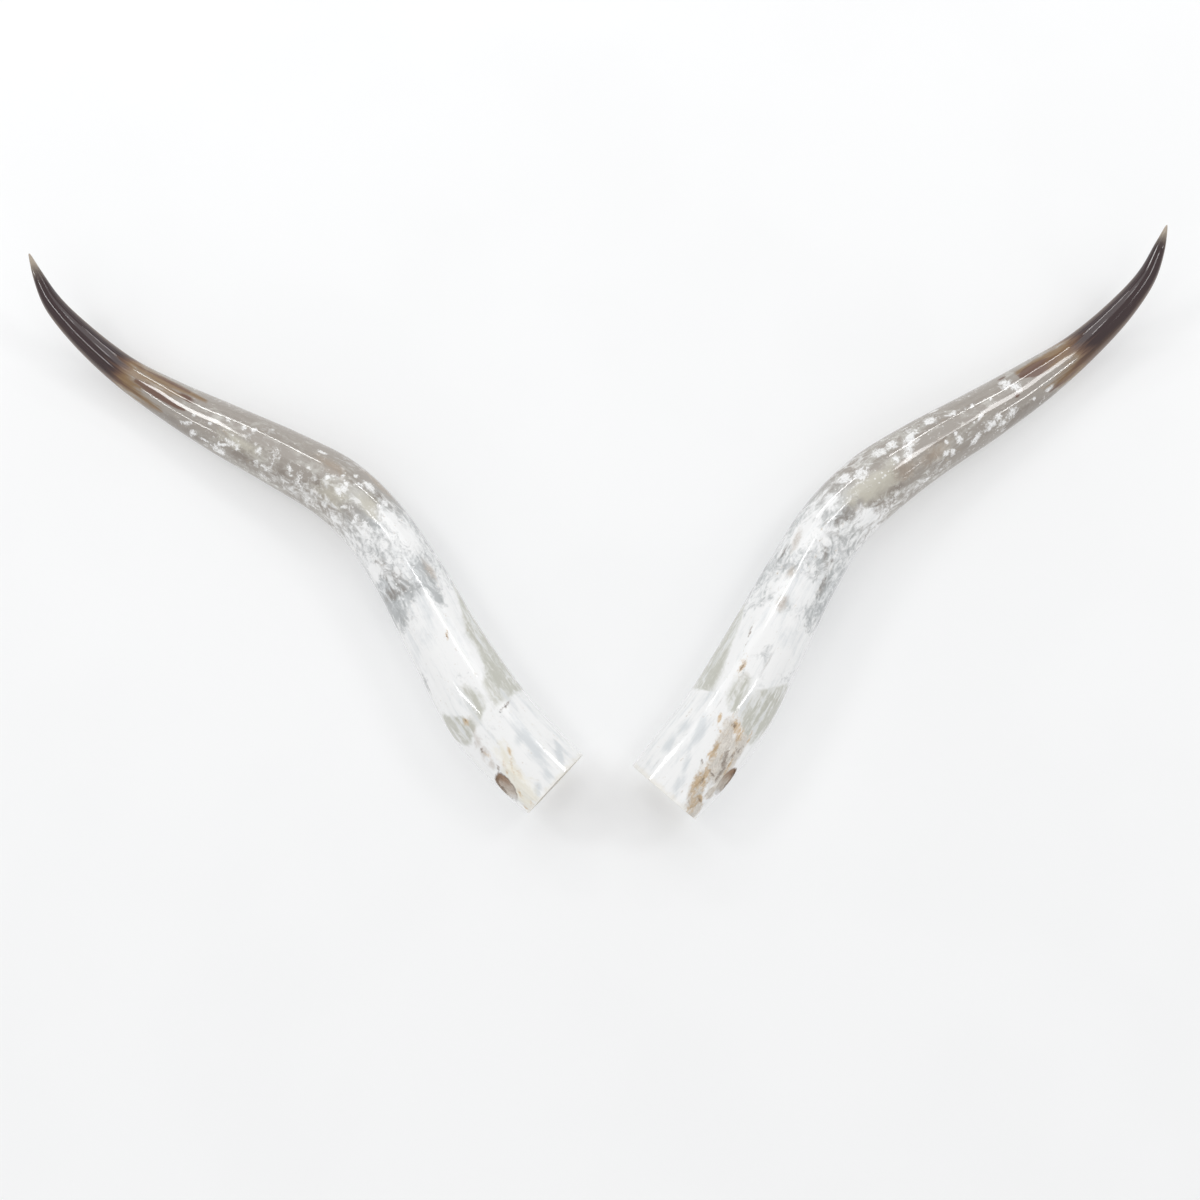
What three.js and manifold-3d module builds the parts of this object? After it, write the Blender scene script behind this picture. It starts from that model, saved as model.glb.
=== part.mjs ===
// A pair of polished cow horns lying on a level surface, sawn bases together and points apart.
// Millimetres. +X runs from the left point to the right one, +Y from the bases to the points, +Z up.
// The origin is under the middle of the pair, on the surface that it lies on.
import * as THREE from 'three';
import { mergeVertices } from 'three/addons/utils/BufferGeometryUtils.js';
import Module from 'manifold-3d';

// Stations along each horn, from the sawn base to the point. x and y are the plan position of the
// middle of the section, lift is the gap under the section, and width is the section's breadth.
const LEFT_STATIONS = [
  { x: -50, y: -590, lift: 0, width: 84 },
  { x: -80.5, y: -560.5, lift: 0, width: 88 },
  { x: -119, y: -516.5, lift: 0, width: 89.5 },
  { x: -163, y: -444, lift: 4, width: 80.5 },
  { x: -207.5, y: -362.5, lift: 7, width: 74 },
  { x: -245, y: -306, lift: 7, width: 72 },
  { x: -286.5, y: -264.5, lift: 4, width: 72 },
  { x: -344, y: -229, lift: 1, width: 67.5 },
  { x: -418.5, y: -188.5, lift: 0.7, width: 58.5 },
  { x: -484.5, y: -150, lift: 0.7, width: 46 },
  { x: -534, y: -118, lift: 9, width: 36 },
  { x: -579, y: -79, lift: 28, width: 28.5 },
  { x: -606.5, y: -47, lift: 48, width: 21 },
  { x: -618.5, y: -20, lift: 67, width: 11.5 },
  { x: -625, y: 0, lift: 81, width: 2.5 },
];
const RIGHT_STATIONS = [
  { x: 64, y: -601, lift: 0, width: 86 },
  { x: 91.5, y: -570, lift: 0, width: 91 },
  { x: 129, y: -524.5, lift: 0, width: 91 },
  { x: 172.5, y: -452, lift: 4, width: 84.5 },
  { x: 218, y: -372, lift: 7, width: 77 },
  { x: 255.5, y: -316, lift: 7, width: 75.5 },
  { x: 297.5, y: -275, lift: 4, width: 75.5 },
  { x: 353, y: -236, lift: 1, width: 69 },
  { x: 425, y: -193.5, lift: 0.7, width: 60 },
  { x: 489, y: -153, lift: 0.7, width: 50 },
  { x: 537.5, y: -119, lift: 9, width: 38 },
  { x: 581.5, y: -80, lift: 28, width: 29.5 },
  { x: 608, y: -47.5, lift: 48, width: 21 },
  { x: 619, y: -20, lift: 67, width: 12.5 },
  { x: 625, y: 0, lift: 81, width: 2.5 },
];

// A section is an oval: its height is this share of its width, more nearly round at the point.
const BASE_FLATNESS = 0.88;
const POINT_FLATNESS = 0.97;
// How far the blunt point stands past the last station.
const POINT_LENGTH = 1.5;

// The hollow that the bone core leaves: depth along the horn, wall at the mouth, and the power of
// its taper, which keeps it wide at first and closes it at its depth.
const HOLLOW_DEPTH = 300;
const MOUTH_WALL = 9;
const HOLLOW_TAPER = 1.7;

// The pit where a flake has come off the outer flank near the base: its place along the horn and
// degrees down from the top of the section, its own length, width and depth, and the degrees that
// its length leans down the flank towards the point.
const LEFT_PIT = { along: 33, down: 61, length: 35, width: 22, depth: 4.2, lean: -30 };
const RIGHT_PIT = { along: 49, down: 67, length: 34, width: 20, depth: 4.2, lean: -9 };

// Facets: sides of a section, rings between two stations, rings of the hollow, facets of a pit.
const SIDES = 24;
const RINGS_PER_STATION = 4;
const HOLLOW_RINGS = 14;
const PIT_FACETS = { around: 20, down: 12 };

// Mean colours of the two horns, and the polish.
const LEFT_COLOUR = 0xb9b2a8;
const RIGHT_COLOUR = 0xb5aea3;
const POLISHED_ROUGHNESS = 0.22;

const UP = new THREE.Vector3(0, 0, 1);
const wasm = await Module();
wasm.setup();

// The curve through the middles of the sections, and beside it their widths and heights.
function hornCurves(stations) {
  const last = stations.length - 1;
  const middles = [];
  const sizes = [];
  stations.forEach(({ x, y, lift, width }, index) => {
    const height = width * THREE.MathUtils.lerp(BASE_FLATNESS, POINT_FLATNESS, index / last);
    middles.push(new THREE.Vector3(x, y, lift + height / 2));
    sizes.push(new THREE.Vector3(width, height, 0));
  });
  return {
    middle: new THREE.CatmullRomCurve3(middles),
    size: new THREE.CatmullRomCurve3(sizes),
  };
}

// The share of the stations at which a distance along the horn is reached.
const shareAt = (curves, distance) => curves.middle.getUtoTmapping(distance / curves.middle.getLength());

// The section at a share of the stations: its middle, its axes and its half sizes.
function sectionAt(curves, share) {
  const along = curves.middle.getTangent(share);
  const side = along.clone().cross(UP).normalize();
  const rise = side.clone().cross(along).normalize();
  const full = curves.size.getPoint(share);
  const centre = curves.middle.getPoint(share);
  return { centre, along, side, rise, halfWidth: full.x / 2, halfHeight: full.y / 2 };
}

// A point of the section's oval, drawn in by an inset and then scaled.
function ovalPoint(section, angle, inset = 0, scale = 1) {
  const across = (section.halfWidth - inset) * scale * Math.cos(angle);
  const above = (section.halfHeight - inset) * scale * Math.sin(angle);
  return section.centre.clone().addScaledVector(section.side, across).addScaledVector(section.rise, above);
}

function ovalRing(section, inset, scale) {
  const step = (2 * Math.PI) / SIDES;
  return Array.from({ length: SIDES }, (_, side) => ovalPoint(section, side * step, inset, scale));
}

// The rings of the outside, from the cut to the point.
function outsideRings(curves, count) {
  return Array.from({ length: count + 1 }, (_, ring) => ovalRing(sectionAt(curves, ring / count)));
}

// The rings of the hollow, from its mouth inwards, each smaller than the last.
function hollowRings(curves, end) {
  return Array.from({ length: HOLLOW_RINGS }, (_, ring) => {
    const reach = ring / HOLLOW_RINGS;
    return ovalRing(sectionAt(curves, end * reach), MOUTH_WALL, 1 - reach ** HOLLOW_TAPER);
  });
}

// The closed skin of one horn. It is one long sock of rings: from the bottom of the hollow out to
// its mouth, over the rim, along the outside and up to the point.
function hornSkin(curves, stationCount) {
  const hollowEnd = shareAt(curves, HOLLOW_DEPTH);
  const outside = outsideRings(curves, (stationCount - 1) * RINGS_PER_STATION);
  const rings = [...hollowRings(curves, hollowEnd).reverse(), ...outside];
  const point = sectionAt(curves, 1);
  const tip = point.centre.clone().addScaledVector(point.along, POINT_LENGTH);
  const bottom = curves.middle.getPoint(hollowEnd);
  const points = [...rings.flat(), bottom, tip];
  const tipIndex = points.length - 1;
  const bottomIndex = tipIndex - 1;
  const lastRing = (rings.length - 1) * SIDES;
  const triangles = [];
  for (let side = 0; side < SIDES; side += 1) {
    const next = (side + 1) % SIDES;
    triangles.push(side, next, bottomIndex);
    for (let ring = 0; ring < lastRing; ring += SIDES) {
      triangles.push(ring + side, ring + SIDES + side, ring + SIDES + next);
      triangles.push(ring + side, ring + SIDES + next, ring + next);
    }
    triangles.push(lastRing + next, lastRing + side, tipIndex);
  }
  const geometry = new THREE.BufferGeometry().setFromPoints(points);
  geometry.setIndex(triangles);
  return geometry;
}

// The lens of material that has flaked off the outer flank. outward is +1 where the section's side
// axis points away from the pair and -1 where it points inwards.
function pitLens(curves, pit, outward) {
  const section = sectionAt(curves, shareAt(curves, pit.along));
  const angle = Math.PI / 2 - outward * THREE.MathUtils.degToRad(pit.down);
  const normal = new THREE.Vector3()
    .addScaledVector(section.side, Math.cos(angle) / section.halfWidth)
    .addScaledVector(section.rise, Math.sin(angle) / section.halfHeight)
    .normalize();
  const around = normal.clone().cross(section.along).normalize();
  const frame = new THREE.Matrix4().makeBasis(section.along, around, normal);
  const lens = new THREE.SphereGeometry(1, PIT_FACETS.around, PIT_FACETS.down);
  lens.deleteAttribute('normal');
  lens.deleteAttribute('uv');
  lens.scale(pit.length / 2, pit.width / 2, pit.depth);
  lens.rotateZ(-outward * THREE.MathUtils.degToRad(pit.lean));
  lens.applyMatrix4(frame.setPosition(ovalPoint(section, angle)));
  return mergeVertices(lens);
}

const toManifold = (geometry) => new wasm.Manifold(new wasm.Mesh({
  numProp: 3,
  vertProperties: new Float32Array(geometry.getAttribute('position').array),
  triVerts: new Uint32Array(geometry.getIndex().array),
}));

function fromManifold(solid) {
  const { vertProperties, triVerts } = solid.getMesh();
  const geometry = new THREE.BufferGeometry();
  geometry.setAttribute('position', new THREE.BufferAttribute(new Float32Array(vertProperties), 3));
  geometry.setIndex(new THREE.BufferAttribute(new Uint32Array(triVerts), 1));
  geometry.computeVertexNormals();
  return geometry;
}

function horn({ name, stations, pit, outward, color }) {
  const curves = hornCurves(stations);
  const skin = toManifold(hornSkin(curves, stations.length));
  const flaked = skin.subtract(toManifold(pitLens(curves, pit, outward)));
  const material = new THREE.MeshStandardMaterial({ color, roughness: POLISHED_ROUGHNESS, metalness: 0 });
  const mesh = new THREE.Mesh(fromManifold(flaked), material);
  mesh.name = name;
  return mesh;
}

const pair = new THREE.Group();
pair.add(horn({
  name: 'left_horn', stations: LEFT_STATIONS, pit: LEFT_PIT, outward: -1, color: LEFT_COLOUR,
}));
pair.add(horn({
  name: 'right_horn', stations: RIGHT_STATIONS, pit: RIGHT_PIT, outward: 1, color: RIGHT_COLOUR,
}));

// Set the pair down with the middle of its box over the origin and its lowest points at zero.
const box = new THREE.Box3().setFromObject(pair);
const middle = box.getCenter(new THREE.Vector3());
pair.position.set(-middle.x, -middle.y, -box.min.z);

export default pair;
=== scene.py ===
# A pair of polished cow horns: the looks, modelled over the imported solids. Lengths in the tables are
# millimetres, as in the part's source, and everything in the scene is metres.
import math
from dataclasses import dataclass

import bpy
import numpy as np
from bpy.props import EnumProperty, FloatProperty, FloatVectorProperty, IntProperty, PointerProperty
from mathutils import Matrix, Vector
from mathutils.kdtree import KDTree


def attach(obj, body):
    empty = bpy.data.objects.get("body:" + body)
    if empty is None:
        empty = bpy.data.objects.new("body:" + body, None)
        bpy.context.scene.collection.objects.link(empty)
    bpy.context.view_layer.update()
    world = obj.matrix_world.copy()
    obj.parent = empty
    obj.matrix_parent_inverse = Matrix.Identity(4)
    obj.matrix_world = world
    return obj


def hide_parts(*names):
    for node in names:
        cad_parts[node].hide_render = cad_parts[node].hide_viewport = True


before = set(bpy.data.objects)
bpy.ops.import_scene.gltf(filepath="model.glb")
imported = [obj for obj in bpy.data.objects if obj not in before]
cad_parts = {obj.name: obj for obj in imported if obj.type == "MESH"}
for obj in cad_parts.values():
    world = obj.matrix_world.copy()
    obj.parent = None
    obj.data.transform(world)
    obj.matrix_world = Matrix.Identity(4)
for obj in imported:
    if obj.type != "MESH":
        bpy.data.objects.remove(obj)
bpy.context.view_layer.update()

bl_info = {
    "name": "Polished Cow Horns",
    "version": (1, 0, 0),
    "blender": (4, 5, 0),
    "location": "View3D > Sidebar > Horns",
    "description": "Models a pair of polished cow horns and the stage that they lie on",
    "category": "Add Mesh",
}

MM = 0.001
UP = Vector((0.0, 0.0, 1.0))

# Modelling: levels and crease angle of the smoothing, how near to the plane of the base a vertex counts
# as on it, the least turn between two rings in radians, and the reach for a line's direction.
SMOOTH_LEVELS = 2
CREASE_ANGLE = math.radians(38)
ON_PLANE = 0.1 * MM
LEAST_TURN = 1e-5
DIRECTION_REACH = 0.5 * MM
# The flake that leaves a pit: its fineness, and how far and by which draw it is roughened.
FLAKE_DIVISIONS = 3
FLAKE_ROUGHNESS = 1.2 * MM
FLAKE_SEED = 3
# Surfaces: refraction of the polish, closeness of the saw marks, and the floor with its darker tone.
POLISH_IOR = 1.65
SAW_MARK_SCALE = 260.0
FLOOR_ROUGHNESS = 0.9
FLOOR_SPECULAR = 0.1
FLOOR_DARKER = 0.985
PLAIN_WHITE = (1.0, 1.0, 1.0, 1.0)

# How far the stations are moved, so that the pair lies on the floor with its middle over the origin.
SHIFT = (-0.004, 314.111, 0.037)

# Stations along each horn, from the sawn base to the point: x, y, gap underneath, width.
STATIONS = {
    "LEFT": (
        (-50, -590, 0, 84), (-80.5, -560.5, 0, 88), (-119, -516.5, 0, 89.5),
        (-163, -444, 4, 80.5), (-207.5, -362.5, 7, 74), (-245, -306, 7, 72),
        (-286.5, -264.5, 4, 72), (-344, -229, 1, 67.5), (-418.5, -188.5, 0.7, 58.5),
        (-484.5, -150, 0.7, 46), (-534, -118, 9, 36), (-579, -79, 28, 28.5),
        (-606.5, -47, 48, 21), (-618.5, -20, 67, 11.5), (-625, 0, 81, 2.5),
    ),
    "RIGHT": (
        (64, -601, 0, 86), (91.5, -570, 0, 91), (129, -524.5, 0, 91),
        (172.5, -452, 4, 84.5), (218, -372, 7, 77), (255.5, -316, 7, 75.5),
        (297.5, -275, 4, 75.5), (353, -236, 1, 69), (425, -193.5, 0.7, 60),
        (489, -153, 0.7, 50), (537.5, -119, 9, 38), (581.5, -80, 28, 29.5),
        (608, -47.5, 48, 21), (619, -20, 67, 12.5), (625, 0, 81, 2.5),
    ),
}
# +1 where a section's side axis points away from the pair, -1 where it points inwards.
OUTWARD = {"LEFT": -1, "RIGHT": 1}

# The pit that a lost flake leaves near the base: place along the horn, degrees down the outer
# flank, its length, breadth and lean in degrees towards the outer flank, then its depth.
PITS = {"LEFT": (33, 61, 35, 22, -30, 4.2), "RIGHT": (49, 67, 34, 20, -9, 4.2)}

# How a colouring runs along each horn: pairs of distance from the base and strength.
LEFT_RUNS = {
    "white": (
        (0, 0.95), (95, 0.92), (200, 0.72), (240, 0.54), (265, 0.36), (340, 0.36), (400, 0.16),
        (480, 0.03), (600, -0.2),
    ),
    "fleck": (
        (220, 0), (270, 0.2), (330, 0.34), (400, 0.34), (470, 0.2), (520, 0.3), (585, 0.2), (615, 0),
    ),
    "warm": ((230, 0), (330, 0.35), (400, 1)),
    "tip": ((560, 0), (640, 0.22), (680, 0.42), (700, 0.75), (730, 1)),
    "pale": ((815, 0), (838, 0.45), (852, 1)),
    "rim": ((0, 1), (2, 0.8), (8, 0)),
}
RIGHT_RUNS = {
    "white": (
        (0, 0.95), (110, 0.92), (200, 0.68), (240, 0.44), (270, 0.3), (300, 0.36), (370, 0.4), (430, 0.2),
        (500, 0.04), (600, -0.2),
    ),
    "fleck": (
        (200, 0), (260, 0.2), (330, 0.3), (420, 0.3), (480, 0.3), (560, 0.3), (610, 0.14), (640, 0),
    ),
    "warm": ((250, 0), (340, 0.4), (400, 1)),
    "tip": ((570, 0), (630, 0.2), (670, 0.42), (700, 0.8), (730, 1)),
    "pale": ((822, 0), (836, 0.4), (850, 1)),
    "rim": ((0, 1), (3, 0.9), (9, 0)),
}
RUNS = {"LEFT": LEFT_RUNS, "RIGHT": RIGHT_RUNS}

# Single marks, by kind: distance along the horn, degrees down the outer flank from the crest,
# length, breadth, and for some a lean in degrees towards the outer flank.
LEFT_SPOTS = {
    "white": (
        (136, 37, 32, 31), (194, 12, 79, 64), (141, -23, 70, 12, -8), (313, -26, 35, 38),
        (337, -24, 24, 14), (295, 52, 15, 15),
    ),
    "grey": (
        (147, 8, 21, 13), (161, 72, 28, 17), (239, 47, 67, 39, 4), (246, -25, 56, 14, -4),
        (253, 8, 22, 17),
    ),
    # Lighter flanks: painted light that lifts flanks the lamps leave darker, laid over milky horn; the
    # spots at 514 and 534 mm are partly a painted highlight.
    "milky_and_painted_light": (
        (390, 56, 150, 44), (455, 58, 90, 30), (255, -48, 60, 24), (300, 60, 90, 36), (514, -14, 48, 26),
        (534, 34, 32, 16),
    ),
    "dot": (
        (293, 13, 9, 7), (288, -2, 13, 6), (311, 12, 10, 7), (313, 43, 12, 9, -20), (326, 23, 9, 7),
        (339, 24, 10, 9), (335, 10, 9, 6), (344, 11, 11, 7), (355, 21, 7, 15), (349, -40, 9, 7),
        (373, -41, 16, 9), (380, -30, 10, 5), (391, -37, 6, 7), (391, 5, 11, 9), (388, -6, 10, 10),
        (390, -13, 8, 6), (411, -2, 6, 7), (406, -10, 4, 3), (399, -22, 4, 4), (434, 0, 6, 4),
        (434, -41, 13, 5, 15), (496, 15, 7, 9), (503, 6, 5, 4), (522, 31, 7, 7), (530, 26, 21, 6),
        (540, 40, 24, 4, 25), (543, 59, 20, 11), (524, -13, 6, 6), (513, -19, 8, 6), (546, -14, 9, 5),
        (560, 53, 15, 3), (579, 54, 8, 14, -30), (588, 37, 18, 5, 25), (561, 11, 5, 4), (584, 11, 5, 4),
    ),
    "pale": (
        (374, 19, 18, 5, 38), (374, 58, 16, 8, -35), (414, 55, 26, 8, -15), (434, 38, 21, 7, -30),
        (412, 30, 18, 5), (439, 21, 9, 10), (454, 16, 12, 6, -45), (450, 28, 10, 4), (482, 41, 15, 8),
        (494, 39, 9, 8), (483, 58, 15, 7), (477, 9, 12, 24),
    ),
    "shade": (
        (293, 31, 32, 15), (263, 39, 20, 32), (359, -35, 10, 16), (431, 30, 14, 7), (461, 34, 15, 14),
        (416, 15, 18, 6, -20), (277, 17, 13, 13), (511, 41, 30, 20),
    ),
    "clear": ((440, -42, 120, 40), (500, -50, 80, 22), (600, 30, 60, 40)),
    "plain": (
        (445, -48, 150, 46), (540, -55, 110, 30), (600, 45, 90, 40), (400, -68, 90, 24),
        (600, -50, 60, 24),
    ),
    "beige": ((354, -16, 30, 18, -8), (395, 20, 40, 20), (520, 20, 50, 18)),
    "tan": (
        (265, -39, 24, 10), (370, -66, 50, 16), (415, -25, 40, 12), (96, 30, 16, 8, -30),
        (84, 37, 14, 9, -45), (72, 41, 16, 10, -50), (60, 44, 12, 8, -50),
    ),
    "ochre": ((106, 31, 8, 8), (6, 69, 12, 6, -71), (193, -10, 15, 3, -21)),
    "fawn": (
        (68, 38, 10, 6, -40), (56, 11, 12, 4, -30), (51, 27, 11, 5, -38), (42, 36, 7, 3, -55),
        (34, 24, 14, 4, -32), (21, 48, 18, 4, -34), (5, 49, 10, 5, -44), (44, 22, 26, 3, -40),
    ),
    "umber": (
        (107, 31, 4, 3), (76, 41, 9, 3, -70), (50, 45, 13, 4, -50), (85, 42, 7, 4, -52),
        (94, -25, 4, 12, 12), (193, -10, 10, 2, -21),
    ),
    "veil": (
        (57, -8, 11, 9, -26), (59, -23, 34, 8, -13), (36, -11, 20, 11, -14), (44, -16, 70, 12, -15),
        (12, -2, 16, 8, -20), (19, -38, 28, 6, -38), (9, 23, 20, 6, -53),
    ),
    "rust": ((604, -22, 22, 4, -2), (599, -15, 14, 4)),
    "crack": ((94, -26, 2, 4), (90, -13, 8, 1.6, -15)),
}
RIGHT_SPOTS = {
    "white": (
        (213, -22, 80, 27, -8), (196, 27, 49, 21), (254, 9, 22, 27), (317, -18, 36, 31),
        (353, -25, 16, 12), (155, -33, 65, 16, -10), (366, 29, 21, 15),
    ),
    "grey": (
        (183, 7, 26, 10), (233, -6, 17, 12), (225, -39, 21, 14), (398, 10, 56, 34), (436, 22, 40, 22),
    ),
    # Lighter flanks: painted light that lifts flanks the lamps leave darker, laid over milky horn.
    "milky_and_painted_light": ((320, 58, 120, 40), (440, 58, 110, 36), (310, -48, 60, 30)),
    "dot": (
        (381, -41, 12, 18), (394, -27, 18, 15, 20), (425, -37, 15, 12), (441, -35, 13, 13),
        (432, -7, 7, 9), (349, 33, 6, 6), (492, -40, 12, 14), (517, -27, 11, 6), (541, -21, 7, 5),
        (507, 11, 5, 5), (493, 16, 5, 5), (508, 25, 9, 9), (495, 40, 8, 8), (487, 34, 9, 6),
        (542, 7, 16, 4, -25), (526, 43, 19, 7, -25), (546, 35, 15, 10), (558, 28, 10, 9), (561, 46, 10, 8),
        (577, 37, 17, 9), (608, 42, 6, 4), (630, 43, 13, 6), (562, -13, 5, 4), (588, -28, 14, 15),
        (594, -7, 14, 12, 30), (457, -21, 40, 13, -43),
    ),
    "pale": (
        (469, -37, 12, 19), (446, 1, 7, 8), (452, 60, 26, 6, -8), (481, 58, 20, 5, -10),
        (395, 50, 37, 10, -12),
    ),
    "shade": (
        (220, 38, 11, 13), (267, 37, 18, 10), (277, 34, 13, 18), (340, 4, 39, 16), (303, 13, 23, 6, -25),
        (355, 59, 31, 14, -5), (382, 27, 13, 10), (410, 31, 20, 8), (432, 18, 26, 17), (295, 29, 16, 12),
        (285, -50, 20, 7, 10), (468, 24, 22, 9, -8), (487, 9, 20, 7), (417, 34, 12, 8),
        (383, 29, 16, 9, -15),
    ),
    "clear": ((600, -40, 60, 40), (450, 55, 60, 20)),
    "plain": ((560, -48, 130, 34), (600, 5, 90, 40), (560, 62, 120, 30), (480, -10, 50, 20)),
    "beige": ((365, 2, 16, 12),),
    "tan": (
        (267, -18, 15, 8), (303, -39, 26, 8, -8), (233, -7, 18, 10), (142, -4, 15, 8), (432, 18, 30, 18),
        (474, 22, 44, 16, -6),
    ),
    "ochre": (
        (28, 27, 29, 10, -17), (20, 47, 20, 5, -70), (59, 16, 11, 6, -20), (97, 20, 22, 9, -41),
        (96, 47, 14, 4, -17), (94, -5, 10, 4, -15), (84, 6, 7, 4, -62), (154, -14, 21, 6),
        (40, 29, 30, 8, -25), (64, 17, 24, 6, -25), (13, 43, 26, 12, -32), (88, 33, 24, 8, -20),
        (62, 49, 20, 4, -20), (22, 30, 16, 8, -30), (92, 29, 12, 7),
    ),
    "umber": (
        (34, 30, 7, 3, -9), (48, 13, 8, 3, -33), (46, 33, 15, 2.5, -77), (80, 45, 17, 5, 12),
        (97, 16, 6, 4, -55), (81, 38, 6, 4, -68), (72, 42, 6, 4, -9), (19, 47, 13, 2, -78),
        (154, -14, 15, 3), (186, -28, 21, 2.5, -12), (55, 44, 34, 4.5, -6), (66, 34, 22, 6, -20),
    ),
    "bone": (
        (68, 23, 73, 17, -16), (80, 37, 26, 13, -19), (23, 34, 46, 15, -29), (8, 55, 22, 19, -23),
        (32, 55, 17, 11, -7), (52, 53, 36, 12, -8), (72, 45, 34, 14, -6), (88, 40, 18, 14, -10),
        (58, 40, 40, 14, -10),
    ),
    "veil": (
        (72, -15, 33, 10, -21), (34, 1, 35, 6, -26), (42, -37, 19, 11, -31), (16, 8, 20, 6, -24),
        (64, -35, 19, 13, -7),
    ),
    "rust": ((592, -49, 10, 4), (590, 11, 6, 5), (600, 9, 3, 2)),
}
SPOTS = {"LEFT": LEFT_SPOTS, "RIGHT": RIGHT_SPOTS}

# Marks with their own outline, by kind: distance along the horn, then the degrees down the outer
# flank that it lies between.
LEFT_BANDS = {
    "olive": (
        ((100, -88, -14), (110, -89, -15), (129, -87, -18), (138, -85, -30), (166, -85, -40),
         (185, -86, -38), (205, -80, -50), (228, -81, -65), (248, -82, -78)),
        ((97, 14, 18), (105, -3, 17), (117, -8, 15), (127, -3, 13), (137, 4, 11)),
        ((88, 44, 56), (96, 22, 72), (104, 20, 86), (112, 30, 84), (120, 50, 76), (127, 62, 70)),
    ),
    "cream": (((0, 28, 71), (32, 17, 55), (51, 11, 35), (67, 8, 23)),),
    "amber": (
        ((580, -40, -30), (609, -46, -27), (637, -54, -22), (666, -60, -24), (694, -62, -22),
         (711, -62, -18)),
        ((658, 14, 26), (666, 10, 32), (676, 10, 42), (692, 8, 50), (705, 5, 50)),
    ),
    "honey": (
        ((596, -22, -14), (610, -28, -6), (630, -30, 3), (662, -26, 2), (695, -22, 5)),
        ((625, 46, 60), (640, 39, 70), (662, 40, 85), (680, 40, 90), (700, 40, 90)),
    ),
    "rust": (
        ((596, 8, 14), (606, 6, 18), (622, 4, 21), (640, 1, 22), (655, -4, 20), (672, 2, 16)),
        ((606, -42, -38), (625, -47, -38), (655, -50, -37), (685, -48, -36), (706, -44, -36)),
    ),
    # Darker along the outer flank before the dark end.
    "shade": (((548, 44, 60), (566, 44, 66), (585, 46, 90), (610, 40, 95), (640, 46, 95), (656, 62, 95)),),
    "brown": (
        ((640, 40, 130), (685, 48, 130), (708, 58, 130), (790, 56, 130), (835, 60, 130)),
        ((655, -130, -60), (720, -130, -66), (800, -130, -75)),
    ),
}
RIGHT_BANDS = {
    "olive": (
        ((110, -84, -57), (115, -84, -34), (139, -89, -36), (169, -90, -46), (202, -86, -58),
         (219, -78, -72)),
        ((106, 2, 9), (111, -6, 11), (120, -13, 11), (134, -13, 9), (148, -8, 3)),
        ((92, 42, 56), (100, 24, 66), (111, 14, 72), (127, 15, 80), (140, 20, 82), (152, 42, 82),
         (162, 62, 80)),
    ),
    "beige": (((370, -13, 21), (385, -14, 29), (407, -10, 33), (426, -9, 25)),),
    "amber": (
        ((608, -48, -34), (629, -50, -26), (649, -50, -20), (670, -50, -17), (692, -48, -12),
         (715, -48, -10)),
        ((637, 48, 62), (656, 41, 74), (672, 40, 80), (688, 38, 84), (705, 36, 90)),
    ),
    "honey": (((666, -2, 10), (674, -3, 14), (685, 2, 26), (697, 2, 38)),),
    "rust": (
        ((606, -30, -20), (619, -37, -4), (632, -39, 1), (645, -34, 0), (656, -25, -5), (672, -23, -6),
         (691, -20, 2), (710, -18, 10)),
        ((628, 52, 58), (645, 48, 62), (668, 44, 64), (690, 41, 62), (706, 38, 58)),
    ),
    # Darker along the outer flank before the dark end.
    "shade": (((560, 60, 80), (578, 40, 86), (602, 40, 92), (625, 54, 94), (642, 66, 94)),),
    "brown": (
        ((625, 38, 130), (690, 42, 130), (780, 55, 130), (835, 55, 130)),
        ((650, -130, -55), (720, -130, -62), (790, -130, -75)),
    ),
}
BANDS = {"LEFT": LEFT_BANDS, "RIGHT": RIGHT_BANDS}

# Which painted field each kind of mark goes to, how strongly, and how soft its edge is: a share of
# a spot's own size, and millimetres for a band.
MARK_KINDS = {
    "white": ("white", 0.5, 0.8, 4.0),
    "grey": ("white", -0.38, 0.8, 4.0),
    # Lighter flanks, partly painted light and partly milky horn.
    "milky_and_painted_light": ("white", 0.2, 0.8, 8.0),
    "clear": ("fleck", -0.5, 0.8, 8.0),
    "plain": ("plain", 1.0, 0.8, 8.0),
    "dot": ("dot", 1.0, 0.5, 1.5),
    "pale": ("dot", 0.68, 0.6, 2.0),
    "cream": ("cream", 0.9, 0.8, 8.0),
    "beige": ("beige", 1.0, 0.8, 8.0),
    "tan": ("tan", 1.0, 0.8, 4.0),
    "olive": ("olive", 1.0, 0.4, 5.0),
    "shade": ("shade", 1.0, 0.9, 4.0),
    "veil": ("veil", 1.0, 0.8, 4.0),
    "ochre": ("ochre", 1.0, 0.8, 2.0),
    "fawn": ("ochre", 0.72, 1.0, 2.0),
    "umber": ("umber", 1.0, 0.7, 2.0),
    "rust": ("rust", 1.0, 0.7, 2.0),
    "amber": ("amber", 1.0, 0.7, 4.0),
    "honey": ("amber", 0.62, 0.7, 5.0),
    "brown": ("brown", 1.0, 0.7, 6.0),
    "crack": ("crack", 1.0, 0.5, 1.0),
    "bone": ("bone", 1.0, 0.5, 4.0),
}
# The columns of that table with the edges of spots and of bands.
SPOT_EDGE = 2
BAND_EDGE = 3
# All painted fields, and those whose marks add up, where the others keep the strongest mark.
FIELDS = tuple(dict.fromkeys([*LEFT_RUNS, *(field for field, *_ in MARK_KINDS.values())]))
ADDED_FIELDS = ("white", "fleck")

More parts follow.
